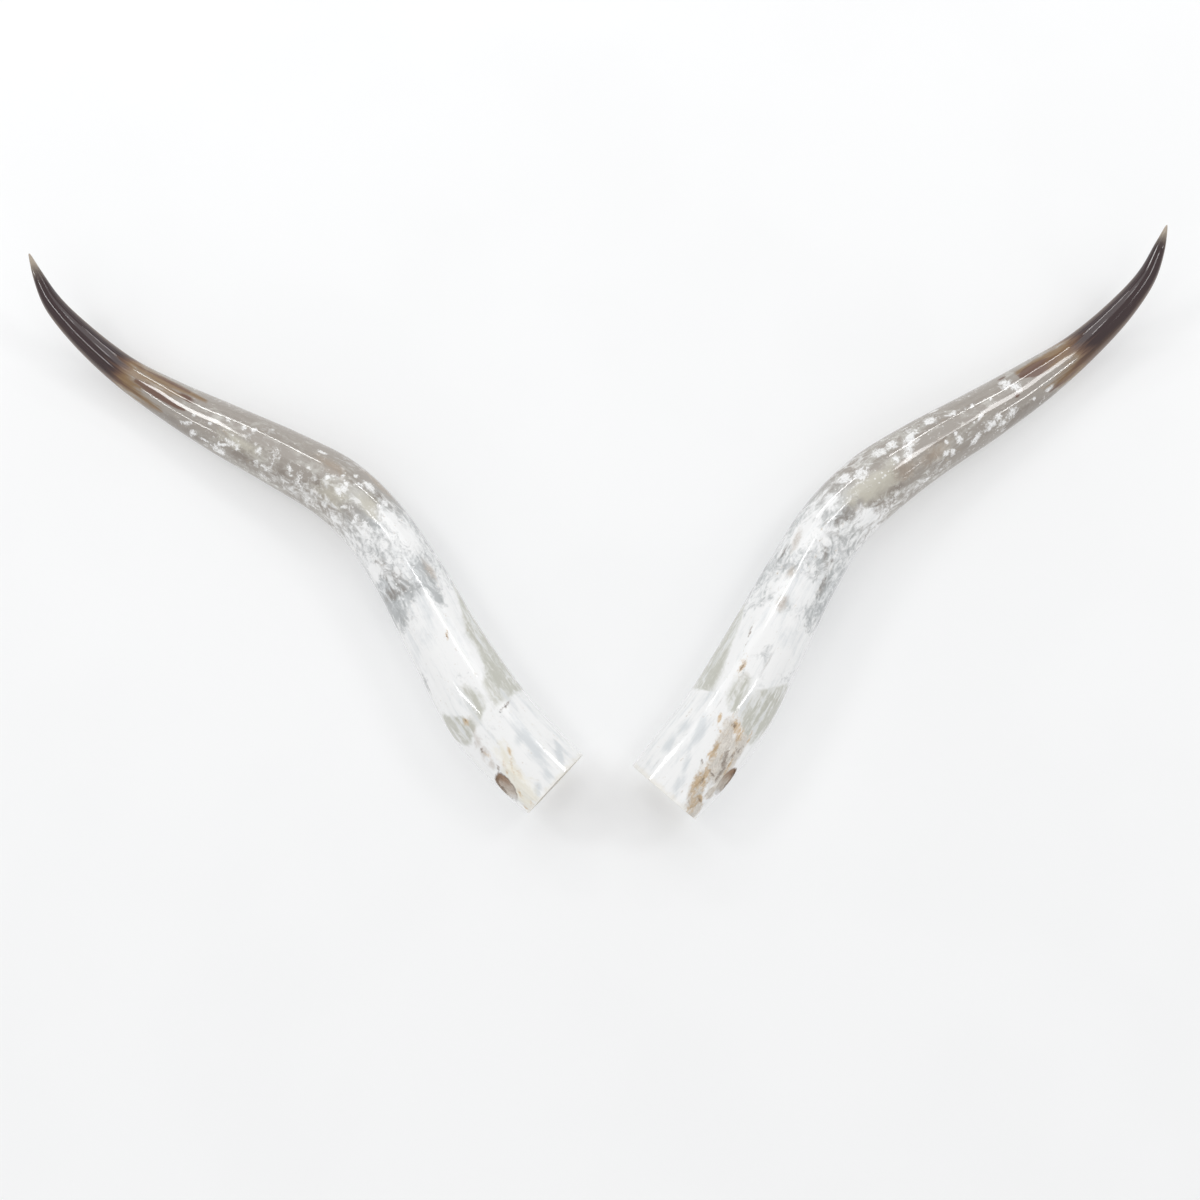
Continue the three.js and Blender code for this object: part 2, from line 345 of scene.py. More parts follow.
# Noises of the sheath: how far each is drawn out along the horn, its grain, detail, roughness and swirl.
SHEATH_NOISES = {
    "clouds": (2.0, 30, 4.0, 0.55, 0.9),
    "smoke": (2.6, 18, 5.0, 0.6, 1.3),
    "wisps": (1.5, 11, 5.0, 0.62, 1.8),
    "ragged": (2.0, 8, 5.0, 0.65, 0.7),
    "grit": (1.0, 3.6, 4.0, 0.65, 0.8),
    "fine": (1.0, 2.0, 3.0, 0.6, 0.0),
    "streaks": (9.0, 6, 5.0, 0.62, 0.4),
    "fibres": (20.0, 6, 3.0, 0.6, 0.0),
    "crust": (1.8, 6, 6.0, 0.72, 1.0),
    "grain": (3.0, 5, 6.0, 0.7, 0.6),
    "ridges": (6.0, 13, 0.6, 0.55, 0.0),
}

# Lights: name, x, y, z, tilt in degrees from facing down, length, width, radiant power in watts.
LIGHTS = (
    ("strip_front_left", -1.2, -0.28, 2.2, 0, 0.8, 0.06, 2.2),
    ("strip_front_right", 0.95, -0.28, 2.2, 0, 0.42, 0.06, 1.1),
    ("strip_far_left", -3.25, -0.28, 2.2, 0, 1.05, 0.12, 5.6),
    ("strip_far_right", 3.25, -0.28, 2.2, 0, 1.05, 0.12, 5.6),
    ("strip_middle_left", -1.98, 1.12, 2.2, 0, 0.96, 0.55, 16.0),
    ("strip_short_left", -0.27, 0.95, 2.2, 0, 0.28, 0.06, 0.6),
    ("strip_short_right", 0.28, 0.95, 2.2, 0, 0.3, 0.06, 0.65),
    ("strip_middle_right", 2.03, 0.95, 2.2, 0, 1.14, 0.6, 14.5),
    ("strip_back_left", -1.1, 2.95, 2.2, 0, 1.2, 0.3, 14.0),
    ("strip_back_right", 0.88, 2.95, 2.2, 0, 0.75, 0.24, 7.5),
    ("front_fill", 0.0, -2.6, 2.4, 0, 5.0, 1.5, 20.0),
    ("low_back", 0.0, 3.4, 0.9, -75, 7.0, 0.9, 7.0),
    ("low_front", 0.0, -3.4, 1.2, 70, 7.0, 1.2, 17.0),
    ("back_panel", 0.0, 1.7, 2.3, 0, 3.4, 1.7, 15.0),
)


def colour(label, description, red, green, blue):
    """A colour setting, as linear values."""
    return FloatVectorProperty(name=label, description=description, default=(red, green, blue), size=3,
                               min=0.0, max=1.0, subtype="COLOR")


def length(label, description, default):
    """A length setting, in metres."""
    return FloatProperty(name=label, description=description, default=default, min=0.0, unit="LENGTH",
                         precision=4)


class HornShape(bpy.types.PropertyGroup):
    """The form that both horns share."""

    base_flatness: FloatProperty(name="Base Flatness", default=0.88, min=0.5, max=1.0, subtype="FACTOR",
                                 description="Height of the base as a share of its width")
    point_flatness: FloatProperty(name="Point Flatness", default=0.97, min=0.5, max=1.0, subtype="FACTOR",
                                  description="Height at the point as a share of its width")
    point_length: length("Point Length", "How far the blunt point stands past the last station", 0.0015)
    hollow_depth: length("Hollow Depth", "How deep the hollow of the base goes", 0.3)
    mouth_wall: length("Mouth Wall", "Thickness of the wall at the sawn base", 0.009)
    rim_round: length("Rim Round", "Width of the rounding along the sawn rim", 0.0012)
    hollow_taper: FloatProperty(name="Hollow Taper", default=1.7, min=1.0, max=4.0,
                                description="Power by which the hollow narrows inwards")
    sides: IntProperty(name="Sides", description="Sides of a section before smoothing", default=32, min=12)
    rings: IntProperty(name="Rings", description="Rings of a horn before smoothing", default=112, min=40)
    hollow_rings: IntProperty(name="Hollow Rings", description="Rings along the hollow", default=16, min=6)


class HornColours(bpy.types.PropertyGroup):
    """The colours of polished horn."""

    white: colour("White", "Opaque white of base and patches", 0.89, 0.893, 0.892)
    veil: colour("Veil", "Blue-grey streaks in the white", 0.6, 0.635, 0.66)
    grey: colour("Grey", "Clear cool horn between the patches", 0.43, 0.445, 0.45)
    taupe: colour("Taupe", "Clear warm horn of the middle", 0.337, 0.307, 0.276)
    mist: colour("Mist", "Milky clouds in the cool horn", 0.68, 0.7, 0.71)
    haze: colour("Haze", "Milky clouds in the warm horn", 0.55, 0.54, 0.5)
    shade: colour("Shade", "Darker clouds in the clear horn", 0.21, 0.18, 0.155)
    olive: colour("Olive", "Windows polished through the white", 0.5, 0.5, 0.44)
    cream: colour("Cream", "Yellowish old horn near the base", 0.78, 0.73, 0.57)
    beige: colour("Beige", "Pale yellowish clouds of the bend", 0.53, 0.505, 0.43)
    tan: colour("Tan", "Soft brown stains", 0.41, 0.335, 0.265)
    ochre: colour("Ochre", "Light brown stains", 0.6, 0.43, 0.245)
    umber: colour("Umber", "Dark brown stains", 0.2, 0.14, 0.1)
    rust: colour("Rust", "Red-brown streaks before the dark end", 0.135, 0.07, 0.047)
    amber: colour("Amber", "Golden edge of the dark end", 0.225, 0.138, 0.062)
    brown: colour("Brown", "Flanks of the dark end", 0.135, 0.078, 0.045)
    dark: colour("Dark", "Dark horn of the end", 0.034, 0.017, 0.018)
    point: colour("Point", "Pale horn of the very point", 0.44, 0.375, 0.3)
    bone: colour("Bone", "Pale part of the rough strip", 0.8, 0.755, 0.69)
    flaked: colour("Flaked", "Floor of a pit", 0.64, 0.575, 0.505)
    bruised: colour("Bruised", "Brown end of a pit", 0.34, 0.2, 0.115)
    sawn: colour("Sawn", "Sawn rim", 0.8, 0.765, 0.68)
    hollow: colour("Hollow", "Wall of the hollow", 0.42, 0.31, 0.2)


class HornStage(bpy.types.PropertyGroup):
    """The surface, the light and the camera."""

    floor_size: length("Floor Size", "Side of the floor", 14.0)
    floor_colour: colour("Floor", "Pale floor", 0.625, 0.63, 0.634)
    room_light: FloatProperty(name="Room Light", description="Brightness of the light from all round",
                              default=0.555, min=0.0)
    floor_glow: FloatProperty(name="Floor Glow", description="Light that comes up from the floor",
                              default=0.29, min=0.0)
    camera_place: FloatVectorProperty(name="Camera Place", description="Where the camera stands", size=3,
                                      default=(0.030609, -0.349413, 1.524779), subtype="XYZ", unit="LENGTH")
    camera_turn: FloatVectorProperty(name="Camera Turn", description="How the camera is turned", size=3,
                                     default=[math.radians(angle) for angle in (10.263, 1.344, -0.913)],
                                     subtype="EULER", unit="ROTATION")
    camera_view: FloatProperty(name="Camera View", description="Angle that the square picture takes in",
                               default=math.radians(46.397), subtype="ANGLE")


@dataclass
class Section:
    """One cross-section of a horn: where it is, how it is turned and how large it is."""

    centre: Vector
    along: Vector
    width: float
    height: float

    @property
    def side(self):
        return self.along.cross(UP).normalized()

    @property
    def rise(self):
        return self.side.cross(self.along).normalized()

    @property
    def axes(self):
        """The section's own axes as the columns of a matrix: across, up, and along the horn."""
        return Matrix((-self.side, self.rise, self.along)).transposed()

    def resized(self, inset, scale=1.0):
        """The same section, drawn in all round and then scaled."""
        width = (self.width - 2 * inset) * scale
        height = (self.height - 2 * inset) * scale
        return Section(self.centre, self.along, width, height)


class HornLine:
    """The line through the middle of a horn, with the sizes of its sections."""

    STEPS = 40

    def __init__(self, side, shape):
        rows = np.array(STATIONS[side], float)
        flatness = np.linspace(shape.base_flatness, shape.point_flatness, len(rows))
        height = rows[:, 3] * flatness
        middles = np.column_stack([rows[:, 0], rows[:, 1], rows[:, 2] + height / 2]) + SHIFT
        self.points = self.through(middles * MM)
        self.sizes = self.through(np.column_stack([rows[:, 3], height]) * MM)
        steps = np.linalg.norm(np.diff(self.points, axis=0), axis=1)
        self.distance = np.concatenate([[0.0], np.cumsum(steps)])
        self.length = self.distance[-1]

    def through(self, knots):
        """Points of the smooth curve through the knots."""
        padded = np.vstack([2 * knots[0] - knots[1], knots, 2 * knots[-1] - knots[-2]])
        gaps = np.sqrt(np.linalg.norm(np.diff(padded, axis=0), axis=1))
        share = np.linspace(0.0, 1.0, self.STEPS, endpoint=False)[:, None]
        runs = []
        for index in range(len(knots) - 1):
            before, start, end, after = padded[index:index + 4]
            gap_before, gap, gap_after = gaps[index:index + 3]
            straight = (end - start) / gap
            leave = (start - before) / gap_before - (end - before) / (gap_before + gap) + straight
            arrive = straight - (after - start) / (gap + gap_after) + (after - end) / gap_after
            runs.append(
                start * (2 * share**3 - 3 * share**2 + 1) + leave * gap * (share**3 - 2 * share**2 + share)
                + end * (3 * share**2 - 2 * share**3) + arrive * gap * (share**3 - share**2)
            )
        return np.vstack(runs + [knots[-1:]])

    def at(self, distance):
        """The section at a distance from the sawn base."""
        columns = np.column_stack([self.points, self.sizes]).T
        here = [np.interp(distance, self.distance, column) for column in columns]
        behind, ahead = (
            Vector([np.interp(distance + step, self.distance, column) for column in columns[:3]])
            for step in (-DIRECTION_REACH, DIRECTION_REACH)
        )
        return Section(Vector(here[:3]), (ahead - behind).normalized(), here[3], here[4])


def deselect_all():
    bpy.ops.object.select_all(action="DESELECT")


def resize(factors, axes, centre):
    """Resize what is selected along the given axes."""
    bpy.ops.transform.resize(
        value=factors, orient_type="GLOBAL", orient_matrix_type="GLOBAL", orient_matrix=axes,
        constraint_axis=(True, True, True), center_override=centre,
    )


def draw_out(sections):
    """Extrude the selected ring through a row of sections, moving, turning and resizing it at each."""
    for before, after in zip(sections, sections[1:]):
        bpy.ops.mesh.extrude_region_move(TRANSFORM_OT_translate={"value": after.centre - before.centre})
        axis, angle = before.along.rotation_difference(after.along).to_axis_angle()
        if angle > LEAST_TURN:
            bpy.ops.transform.rotate(
                value=angle, orient_axis="Z", orient_type="GLOBAL", orient_matrix_type="GLOBAL",
                orient_matrix=axis.to_track_quat("Z", "Y").to_matrix(),
                constraint_axis=(False, False, True), center_override=after.centre,
            )
        factors = (after.width / before.width, after.height / before.height, 1.0)
        resize(factors, after.axes, after.centre)


def close_ring(step):
    """Extrude the selected ring once more and draw it together to a point."""
    bpy.ops.mesh.extrude_region_move(TRANSFORM_OT_translate={"value": step})
    bpy.ops.mesh.merge(type="CENTER")


def select_base_ring(horn, base):
    """Select the vertices in the plane of the sawn base."""
    bpy.ops.object.mode_set(mode="OBJECT")
    for vertex in horn.data.vertices:
        vertex.select = abs((vertex.co - base.centre).dot(base.along)) < ON_PLANE
    bpy.ops.object.mode_set(mode="EDIT")


def hollow_sections(line, shape):
    """The sections of the hollow, from its mouth to just short of its end."""
    sections = []
    for ring in range(shape.hollow_rings):
        reach = ring / shape.hollow_rings
        section = line.at(reach * shape.hollow_depth)
        sections.append(section.resized(shape.mouth_wall, 1 - reach**shape.hollow_taper))
    return sections


def model_horn(name, line, shape, sheath, sawn):
    """Model one horn: a ring drawn out from base to point, then over the rim and into the hollow."""
    base = line.at(0.0)
    deselect_all()
    bpy.ops.mesh.primitive_circle_add(vertices=shape.sides, radius=0.5, fill_type="NOTHING",
                                      location=base.centre, rotation=base.axes.to_euler())
    horn = bpy.context.object
    horn.name = name
    horn.data.name = name
    bpy.ops.object.transform_apply(location=True, rotation=True, scale=True)
    bpy.ops.object.mode_set(mode="EDIT")
    bpy.ops.mesh.select_all(action="SELECT")
    resize((base.width, base.height, 1.0), base.axes, base.centre)
    # The smoothed surface runs a little inside its rings, so they are drawn that much larger.
    swell = 3.0 / (2.0 + math.cos(2 * math.pi / shape.sides))
    bpy.ops.transform.resize(value=(swell, swell, swell), center_override=base.centre)

    distances = np.linspace(0.0, line.length, shape.rings + 1)
    outside = [line.at(distance) for distance in np.insert(distances, 1, shape.rim_round)]
    draw_out(outside)
    close_ring(outside[-1].along * shape.point_length)

    select_base_ring(horn, base)
    sheath_faces = len(horn.data.polygons)
    mouth = hollow_sections(line, shape)
    rim = [base, base.resized(shape.rim_round), base.resized(shape.mouth_wall - shape.rim_round), mouth[0]]
    draw_out(rim + [line.at(shape.rim_round).resized(shape.mouth_wall)] + mouth[1:])
    close_ring(line.at(shape.hollow_depth).centre - mouth[-1].centre)
    bpy.ops.mesh.select_all(action="SELECT")
    bpy.ops.mesh.normals_make_consistent(inside=False)
    bpy.ops.object.mode_set(mode="OBJECT")
    horn.data.materials.append(sheath)
    horn.data.materials.append(sawn)
    for face in horn.data.polygons:
        face.material_index = int(face.index >= sheath_faces)
    smooth(horn)
    return horn


def smooth(horn):
    """Round the rings off with an applied subdivision surface."""
    bpy.ops.object.modifier_add(type="SUBSURF")
    modifier = horn.modifiers[-1]
    modifier.levels = SMOOTH_LEVELS
    bpy.ops.object.modifier_apply(modifier=modifier.name)


def flake_off(horn, line, side):
    """Cut the shallow pit of a lost flake out of the outer flank."""
    along, down, long, broad, lean, deep = PITS[side]
    section = line.at(along * MM)
    sine, cosine = math.sin(math.radians(down)), math.cos(math.radians(down))
    outer = section.side * OUTWARD[side]
    place = section.centre + outer * (sine * section.width / 2)
    place += section.rise * (cosine * section.height / 2)
    normal = (outer * (sine / section.width) + section.rise * (cosine / section.height)).normalized()
    axes = Matrix((section.along, normal.cross(section.along).normalized(), normal)).transposed()
    axes = axes @ Matrix.Rotation(-OUTWARD[side] * math.radians(lean), 3, "Z")
    deselect_all()
    bpy.ops.mesh.primitive_ico_sphere_add(subdivisions=FLAKE_DIVISIONS, radius=1.0, location=place,
                                          rotation=axes.to_euler())
    flake = bpy.context.object
    bpy.ops.object.mode_set(mode="EDIT")
    bpy.ops.mesh.select_all(action="SELECT")
    resize((long * MM / 2, broad * MM / 2, deep * MM), axes, place)
    bpy.ops.transform.vertex_random(offset=FLAKE_ROUGHNESS, uniform=0.0, normal=0.0, seed=FLAKE_SEED)
    bpy.ops.object.mode_set(mode="OBJECT")
    deselect_all()
    horn.select_set(True)
    bpy.context.view_layer.objects.active = horn
    bpy.ops.object.modifier_add(type="BOOLEAN")
    modifier = horn.modifiers[-1]
    modifier.operation = "DIFFERENCE"
    modifier.object = flake
    bpy.ops.object.modifier_apply(modifier=modifier.name)
    bpy.data.objects.remove(flake)


@dataclass
class Places:
    """Where the vertices of a horn are on it, in millimetres and degrees."""

    along: np.ndarray
    across: np.ndarray
    above: np.ndarray
    down: np.ndarray
    girth: np.ndarray


def vertex_places(horn, line, side):
    """Unroll a horn: how far along it each vertex is, and where in its section."""
    tree = KDTree(len(line.points))
    for index, point in enumerate(line.points):
        tree.insert(point, index)
    tree.balance()
    nearest = np.array([tree.find(vertex.co)[1] for vertex in horn.data.vertices])
    tangents = np.gradient(line.points, axis=0)
    tangents /= np.linalg.norm(tangents, axis=1, keepdims=True)
    sides = np.cross(tangents, UP)
    sides /= np.linalg.norm(sides, axis=1, keepdims=True)
    rises = np.cross(sides, tangents)
    places = np.empty(len(nearest) * 3)
    horn.data.vertices.foreach_get("co", places)
    off = places.reshape(-1, 3) - line.points[nearest]
    along = line.distance[nearest] + np.einsum("ij,ij->i", off, tangents[nearest])
    across = np.einsum("ij,ij->i", off, sides[nearest]) * OUTWARD[side]
    above = np.einsum("ij,ij->i", off, rises[nearest])
    half = line.sizes[nearest] / 2
    down = np.degrees(np.arctan2(across / half[:, 0], above / half[:, 1]))
    return Places(along / MM, across / MM, above / MM, down, half.mean(axis=1) / MM)


def oval_places(places, along, down, long, broad, lean=0):
    """Where the vertices are in a leaning oval on the horn: lengthwise and crosswise, 1 at its edge."""
    forward = places.along - along
    turned = (places.down - down + 180.0) % 360.0 - 180.0
    sideways = np.radians(turned) * places.girth
    cos, sin = math.cos(math.radians(lean)), math.sin(math.radians(lean))
    lengthwise = (forward * cos + sideways * sin) / (long / 2)
    crosswise = (sideways * cos - forward * sin) / (broad / 2)
    return lengthwise, crosswise


def spot_strength(places, spot, softness):
    """1 inside a leaning oval, falling to 0 round its edge."""
    distance = np.hypot(*oval_places(places, *spot))
    return np.clip((1 + softness - distance) / (2 * softness), 0.0, 1.0)


def band_strength(places, band, softness):
    """1 inside a band with its own outline, falling to 0 round its edge."""
    along, low, high = np.array(band, float).T
    inside = np.minimum(places.down - np.interp(places.along, along, low),
                        np.interp(places.along, along, high) - places.down)
    ends = np.minimum(places.along - along[0], along[-1] - places.along)
    depth = np.minimum(np.radians(inside) * places.girth, ends)
    return np.clip(0.5 + depth / (2 * softness), 0.0, 1.0)


def paint_marks(horn, line, side):
    """Paint the colour fields of a horn on its vertices, and keep its unrolled shape beside them."""
    places = vertex_places(horn, line, side)
    fields = {name: np.zeros(len(places.along)) for name in FIELDS}
    for name, run in RUNS[side].items():
        distance, strength = np.array(run).T
        fields[name] += np.interp(places.along, distance, strength)
    tables = ((SPOTS, spot_strength, SPOT_EDGE), (BANDS, band_strength, BAND_EDGE))
    for marks, strength_of, edge in tables:
        for kind, shapes in marks[side].items():
            field, weight = MARK_KINDS[kind][:2]
            for shape in shapes:
                strength = weight * strength_of(places, shape, MARK_KINDS[kind][edge])
                if field in ADDED_FIELDS:
                    fields[field] += strength
                else:
                    fields[field] = np.maximum(fields[field], strength)
    for name, values in fields.items():
        attribute = horn.data.attributes.new(name, "FLOAT", "POINT")
        attribute.data.foreach_set("value", values.astype(np.float32))
    in_pit = oval_places(places, *PITS[side][:5])
    vectors = {
        "unrolled": np.column_stack([places.along, places.across, places.above]) * MM,
        "pit_place": np.column_stack([*in_pit, np.zeros(len(places.along))]),
    }
    for name, values in vectors.items():
        attribute = horn.data.attributes.new(name, "FLOAT_VECTOR", "POINT")
        attribute.data.foreach_set("vector", values.astype(np.float32).ravel())


class Shader:
    """Short ways of adding nodes to one material."""

    # Sockets of a mix of two colours.
    SHARE, BELOW, ABOVE, MIXED = 0, 6, 7, 2

    def __init__(self, name):
        self.material = bpy.data.materials.new(name)
        self.material.use_nodes = True
        self.tree = self.material.node_tree
        self.surface = self.tree.nodes["Principled BSDF"]

    def add(self, kind, inputs, **settings):
        node = self.tree.nodes.new("ShaderNode" + kind)
        for name, value in settings.items():
            setattr(node, name, value)
        for key, value in inputs.items():
            self.plug(node.inputs[key], value)
        return node

    def plug(self, socket, value):
        if isinstance(value, bpy.types.NodeSocket):
            self.tree.links.new(value, socket)
        else:
            socket.default_value = value

    def field(self, name):
        """A painted field."""
        return self.add("Attribute", {}, attribute_name=name).outputs["Fac"]

    def unrolled(self, stretch=1.0):
        """Places on the unrolled horn, with patterns drawn out along it that many times."""
        place = self.add("Attribute", {}, attribute_name="unrolled").outputs["Vector"]
        return self.add("Mapping", {"Vector": place, "Scale": (1.0 / stretch, 1.0, 1.0)}).outputs["Vector"]

    def noise(self, place, grain, detail=3.0, roughness=0.55, swirl=0.0):
        """Cloudy noise centred on 0, with blotches of about its grain in millimetres."""
        inputs = {"Vector": place, "Scale": 1.0 / (grain * MM), "Detail": detail, "Roughness": roughness,
                  "Distortion": swirl}
        cloud = self.add("TexNoise", inputs).outputs["Fac"]
        return self.sums("SUBTRACT", cloud, 0.5)

    def sums(self, operation, first, second=0.0):
        return self.add("Math", {0: first, 1: second}, operation=operation).outputs[0]

    def weighted(self, *terms):
        """The sum of values, each with its weight."""
        total = 0.0
        for value, weight in terms:
            total = self.add("Math", {0: value, 1: weight, 2: total}, operation="MULTIPLY_ADD").outputs[0]
        return total

    def edge(self, value, low, high, full=1.0):
        """0 below low, full above high, with a smooth step between them."""
        inputs = {"Value": value, "From Min": low, "From Max": high, "To Min": 0.0, "To Max": full}
        return self.add("MapRange", inputs, interpolation_type="SMOOTHSTEP").outputs["Result"]

    def layer(self, below, above, share):
        """One colour over another."""
        inputs = {self.SHARE: share, self.BELOW: self.solid(below), self.ABOVE: self.solid(above)}
        return self.add("Mix", inputs, data_type="RGBA").outputs[self.MIXED]

    @staticmethod
    def solid(value):
        return value if isinstance(value, bpy.types.NodeSocket) else (*value, 1.0)

    def bump(self, relief):
        """The normal of a surface raised by that many millimetres."""
        return self.add("Bump", {"Height": relief, "Strength": 1.0, "Distance": MM}).outputs["Normal"]

    def finished(self, inputs):
        """The material, with these inputs of its surface."""
        for name, value in inputs.items():
            self.plug(self.surface.inputs[name], value)
        return self.material


def scattered_flecks(shader, place, density, size, wobble):
    """White flecks of about that many millimetres, in some cells of a scatter."""
    cells = shader.add("TexVoronoi", {"Vector": place, "Scale": 1.0 / (size * MM)})
    chance = shader.add("SeparateColor", {"Color": cells.outputs["Color"]}).outputs
    reach = shader.weighted((chance["Green"], 0.3), (wobble, 0.9), (0.12, 1.0))
    body = shader.edge(shader.sums("SUBTRACT", reach, cells.outputs["Distance"]), -0.14, 0.14)
    chosen = shader.sums("LESS_THAN", chance["Red"], density)
    strength = shader.weighted((chance["Blue"], 0.6), (0.2, 1.0))
    return shader.sums("MULTIPLY", shader.sums("MULTIPLY", body, chosen), strength)


def sheath_material(colours):
    """Polished horn: white, grey and taupe marbling, flecks, stains, a dark end and a rough bony strip."""
    shader = Shader("horn_sheath")
    field, sums, weighted = shader.field, shader.sums, shader.weighted
    edge, layer = shader.edge, shader.layer
    plain = shader.unrolled()
    drawn = shader.unrolled(2.0)
    noises = [shader.noise(shader.unrolled(drawn_out), *settings)
              for drawn_out, *settings in SHEATH_NOISES.values()]
    clouds, smoke, wisps, ragged, grit, fine, streaks, fibres, crust, grain, ridges = noises

    def mark(name, rough, weight, low, high, full, gritty=0.3):
        """The share of a painted mark, roughened by a noise and by grit."""
        roughened = weighted((field(name), 1.0), (rough, weight), (grit, gritty))
        return edge(roughened, low, high, full)

    # Clear horn, cool near the base and warm further out, with milky and darker clouds.
    warmth = edge(weighted((field("warm"), 1.0), (clouds, 0.8)), 0.1, 0.9)
    body = layer(colours.grey, colours.taupe, warmth)
    milk = layer(colours.mist, colours.haze, warmth)
    broad = weighted((smoke, 1.0), (wisps, 0.5), (field("plain"), -0.14))
    body = layer(body, milk, edge(broad, -0.08, 0.2, 0.75))
    thin = weighted((wisps, 1.0), (ragged, 0.5), (field("plain"), -0.2))
    body = layer(body, milk, edge(thin, 0.02, 0.22, 0.5))
    body = layer(body, colours.beige, mark("beige", smoke, 1.8, 0.2, 1.1, 0.85))
    body = layer(body, milk, edge(fibres, 0.04, 0.3, 0.3))
    body = layer(body, colours.shade, edge(streaks, 0.05, 0.34, 0.36))
    body = layer(body, colours.shade, mark("shade", wisps, -1.8, 0.3, 1.1, 0.65))

    # White patches with streaks of blue-grey.
    veil = weighted((field("veil"), 0.3), (streaks, 0.8), (clouds, 0.5), (ragged, 0.3))
    veil = edge(veil, -0.02, 0.32, 0.7)
    chalk = layer(colours.white, colours.veil, veil)
    white = weighted((field("white"), 1.0), (clouds, 1.0), (wisps, 1.0), (ragged, 0.8), (grit, 0.3))
    skin = layer(body, chalk, edge(white, 0.2, 0.75))
    skin = layer(skin, colours.tan, mark("tan", ragged, 1.6, 0.2, 1.1, 0.6, 0.8))
    skin = layer(skin, colours.cream, mark("cream", ragged, 1.6, 0.15, 1.15, 0.65))
    skin = layer(skin, colours.sawn, mark("rim", ragged, 1.8, 0.25, 1.15, 0.5, 0.8))
    combed = weighted((streaks, 1.0), (ragged, 0.8))
    window = layer(colours.olive, chalk, edge(combed, -0.08, 0.22, 0.8))
    skin = layer(skin, window, mark("olive", combed, 1.2, 0.15, 0.9, 0.92, 0.6))

    # Single dots, and smaller flecks scattered in groups between them.
    dots = mark("dot", ragged, 1.6, 0.25, 1.2, 0.95, 2.8)
    groups = edge(weighted((smoke, 1.0), (clouds, 0.6)), -0.02, 0.16, 2.2)
    crowd = sums("MULTIPLY", field("fleck"), groups)
    large = scattered_flecks(shader, drawn, crowd, 7.0, ragged)
    small = scattered_flecks(shader, plain, crowd, 3.2, grit)
    flecks = sums("MAXIMUM", large, small)
    skin = layer(skin, colours.white, sums("MAXIMUM", dots, flecks))

    # The rough bony strip with its grain and crackle, then the stains.
    crackle = edge(sums("ABSOLUTE", crust), 0.035, 0.0, 0.28)
    bone = layer(colours.bone, colours.ochre, edge(grain, 0.03, 0.22, 0.6))
    bone = layer(bone, colours.umber, edge(crust, 0.13, 0.3, 0.45))
    bone = layer(bone, colours.umber, crackle)
    rough = mark("bone", ragged, 1.5, 0.2, 0.75, 1.0, 0.8)
    skin = layer(skin, bone, rough)
    speckled = weighted((grain, 1.4), (crust, 0.8))
    skin = layer(skin, colours.ochre, mark("ochre", speckled, 1.6, 0.3, 1.1, 0.9, 1.2))
    skin = layer(skin, colours.umber, mark("umber", speckled, 1.6, 0.35, 1.1, 0.75, 1.6))

    # The dark end with its golden and red-brown beginning and its browner flanks.
    skin = layer(skin, colours.amber, mark("amber", fibres, 1.5, 0.2, 0.9, 0.88))
    skin = layer(skin, colours.rust, mark("rust", fibres, 1.5, 0.2, 0.85, 0.92))
    end = weighted((field("tip"), 1.0), (fibres, 0.8), (streaks, 0.3))
    skin = layer(skin, colours.amber, edge(end, 0.25, 0.5, 0.8))
    skin = layer(skin, colours.rust, edge(end, 0.4, 0.65, 0.85))
    dark = layer(colours.dark, colours.brown, mark("brown", fibres, 1.0, 0.1, 1.0, 0.9))
    skin = layer(skin, dark, edge(end, 0.5, 0.85))
    skin = layer(skin, colours.point, mark("pale", fibres, 0.6, 0.15, 0.95, 0.9))

    # The pits: brown at the end towards the point, pale towards the base, with a dark ragged brim.
    in_pit = shader.add("Attribute", {}, attribute_name="pit_place").outputs["Vector"]
    forward = shader.add("SeparateXYZ", {"Vector": in_pit}).outputs["X"]
    reach = shader.add("VectorMath", {0: in_pit}, operation="LENGTH").outputs["Value"]
    reach = weighted((ragged, 0.45), (grit, 0.35), (reach, 1.0))
    inside = edge(reach, 1.03, 0.95)
    bruise = edge(weighted((forward, 1.0), (ragged, 1.4), (grain, 1.4)), -0.45, 0.7, 0.95)
    shut = edge(weighted((forward, 1.0), (grit, 0.8)), -1.0, -0.4)
    pit_floor = layer(colours.flaked, colours.bruised, bruise)
    skin = layer(skin, pit_floor, sums("MULTIPLY", inside, shut))
    brim = sums("ABSOLUTE", sums("SUBTRACT", reach, 0.97))
    scar = sums("MULTIPLY", edge(brim, 0.14, 0.04), edge(forward, -0.95, -0.2, 0.6))
    skin = layer(skin, colours.umber, scar)
    skin = layer(skin, colours.dark, mark("crack", fine, 0.5, 0.3, 0.8, 0.7))

    # The polish, duller and rougher on the strip and in the pits.
    pitted = sums("MAXIMUM", rough, inside)
    polish = weighted((pitted, 0.4), (fine, 0.04), (0.075, 1.0))
    relief = weighted((ridges, 0.4), (sums("MULTIPLY", pitted, crust), 3.2), (fine, 0.003))
    return shader.finished({
        "Base Color": skin, "Roughness": polish, "Normal": shader.bump(relief), "IOR": POLISH_IOR,
    })


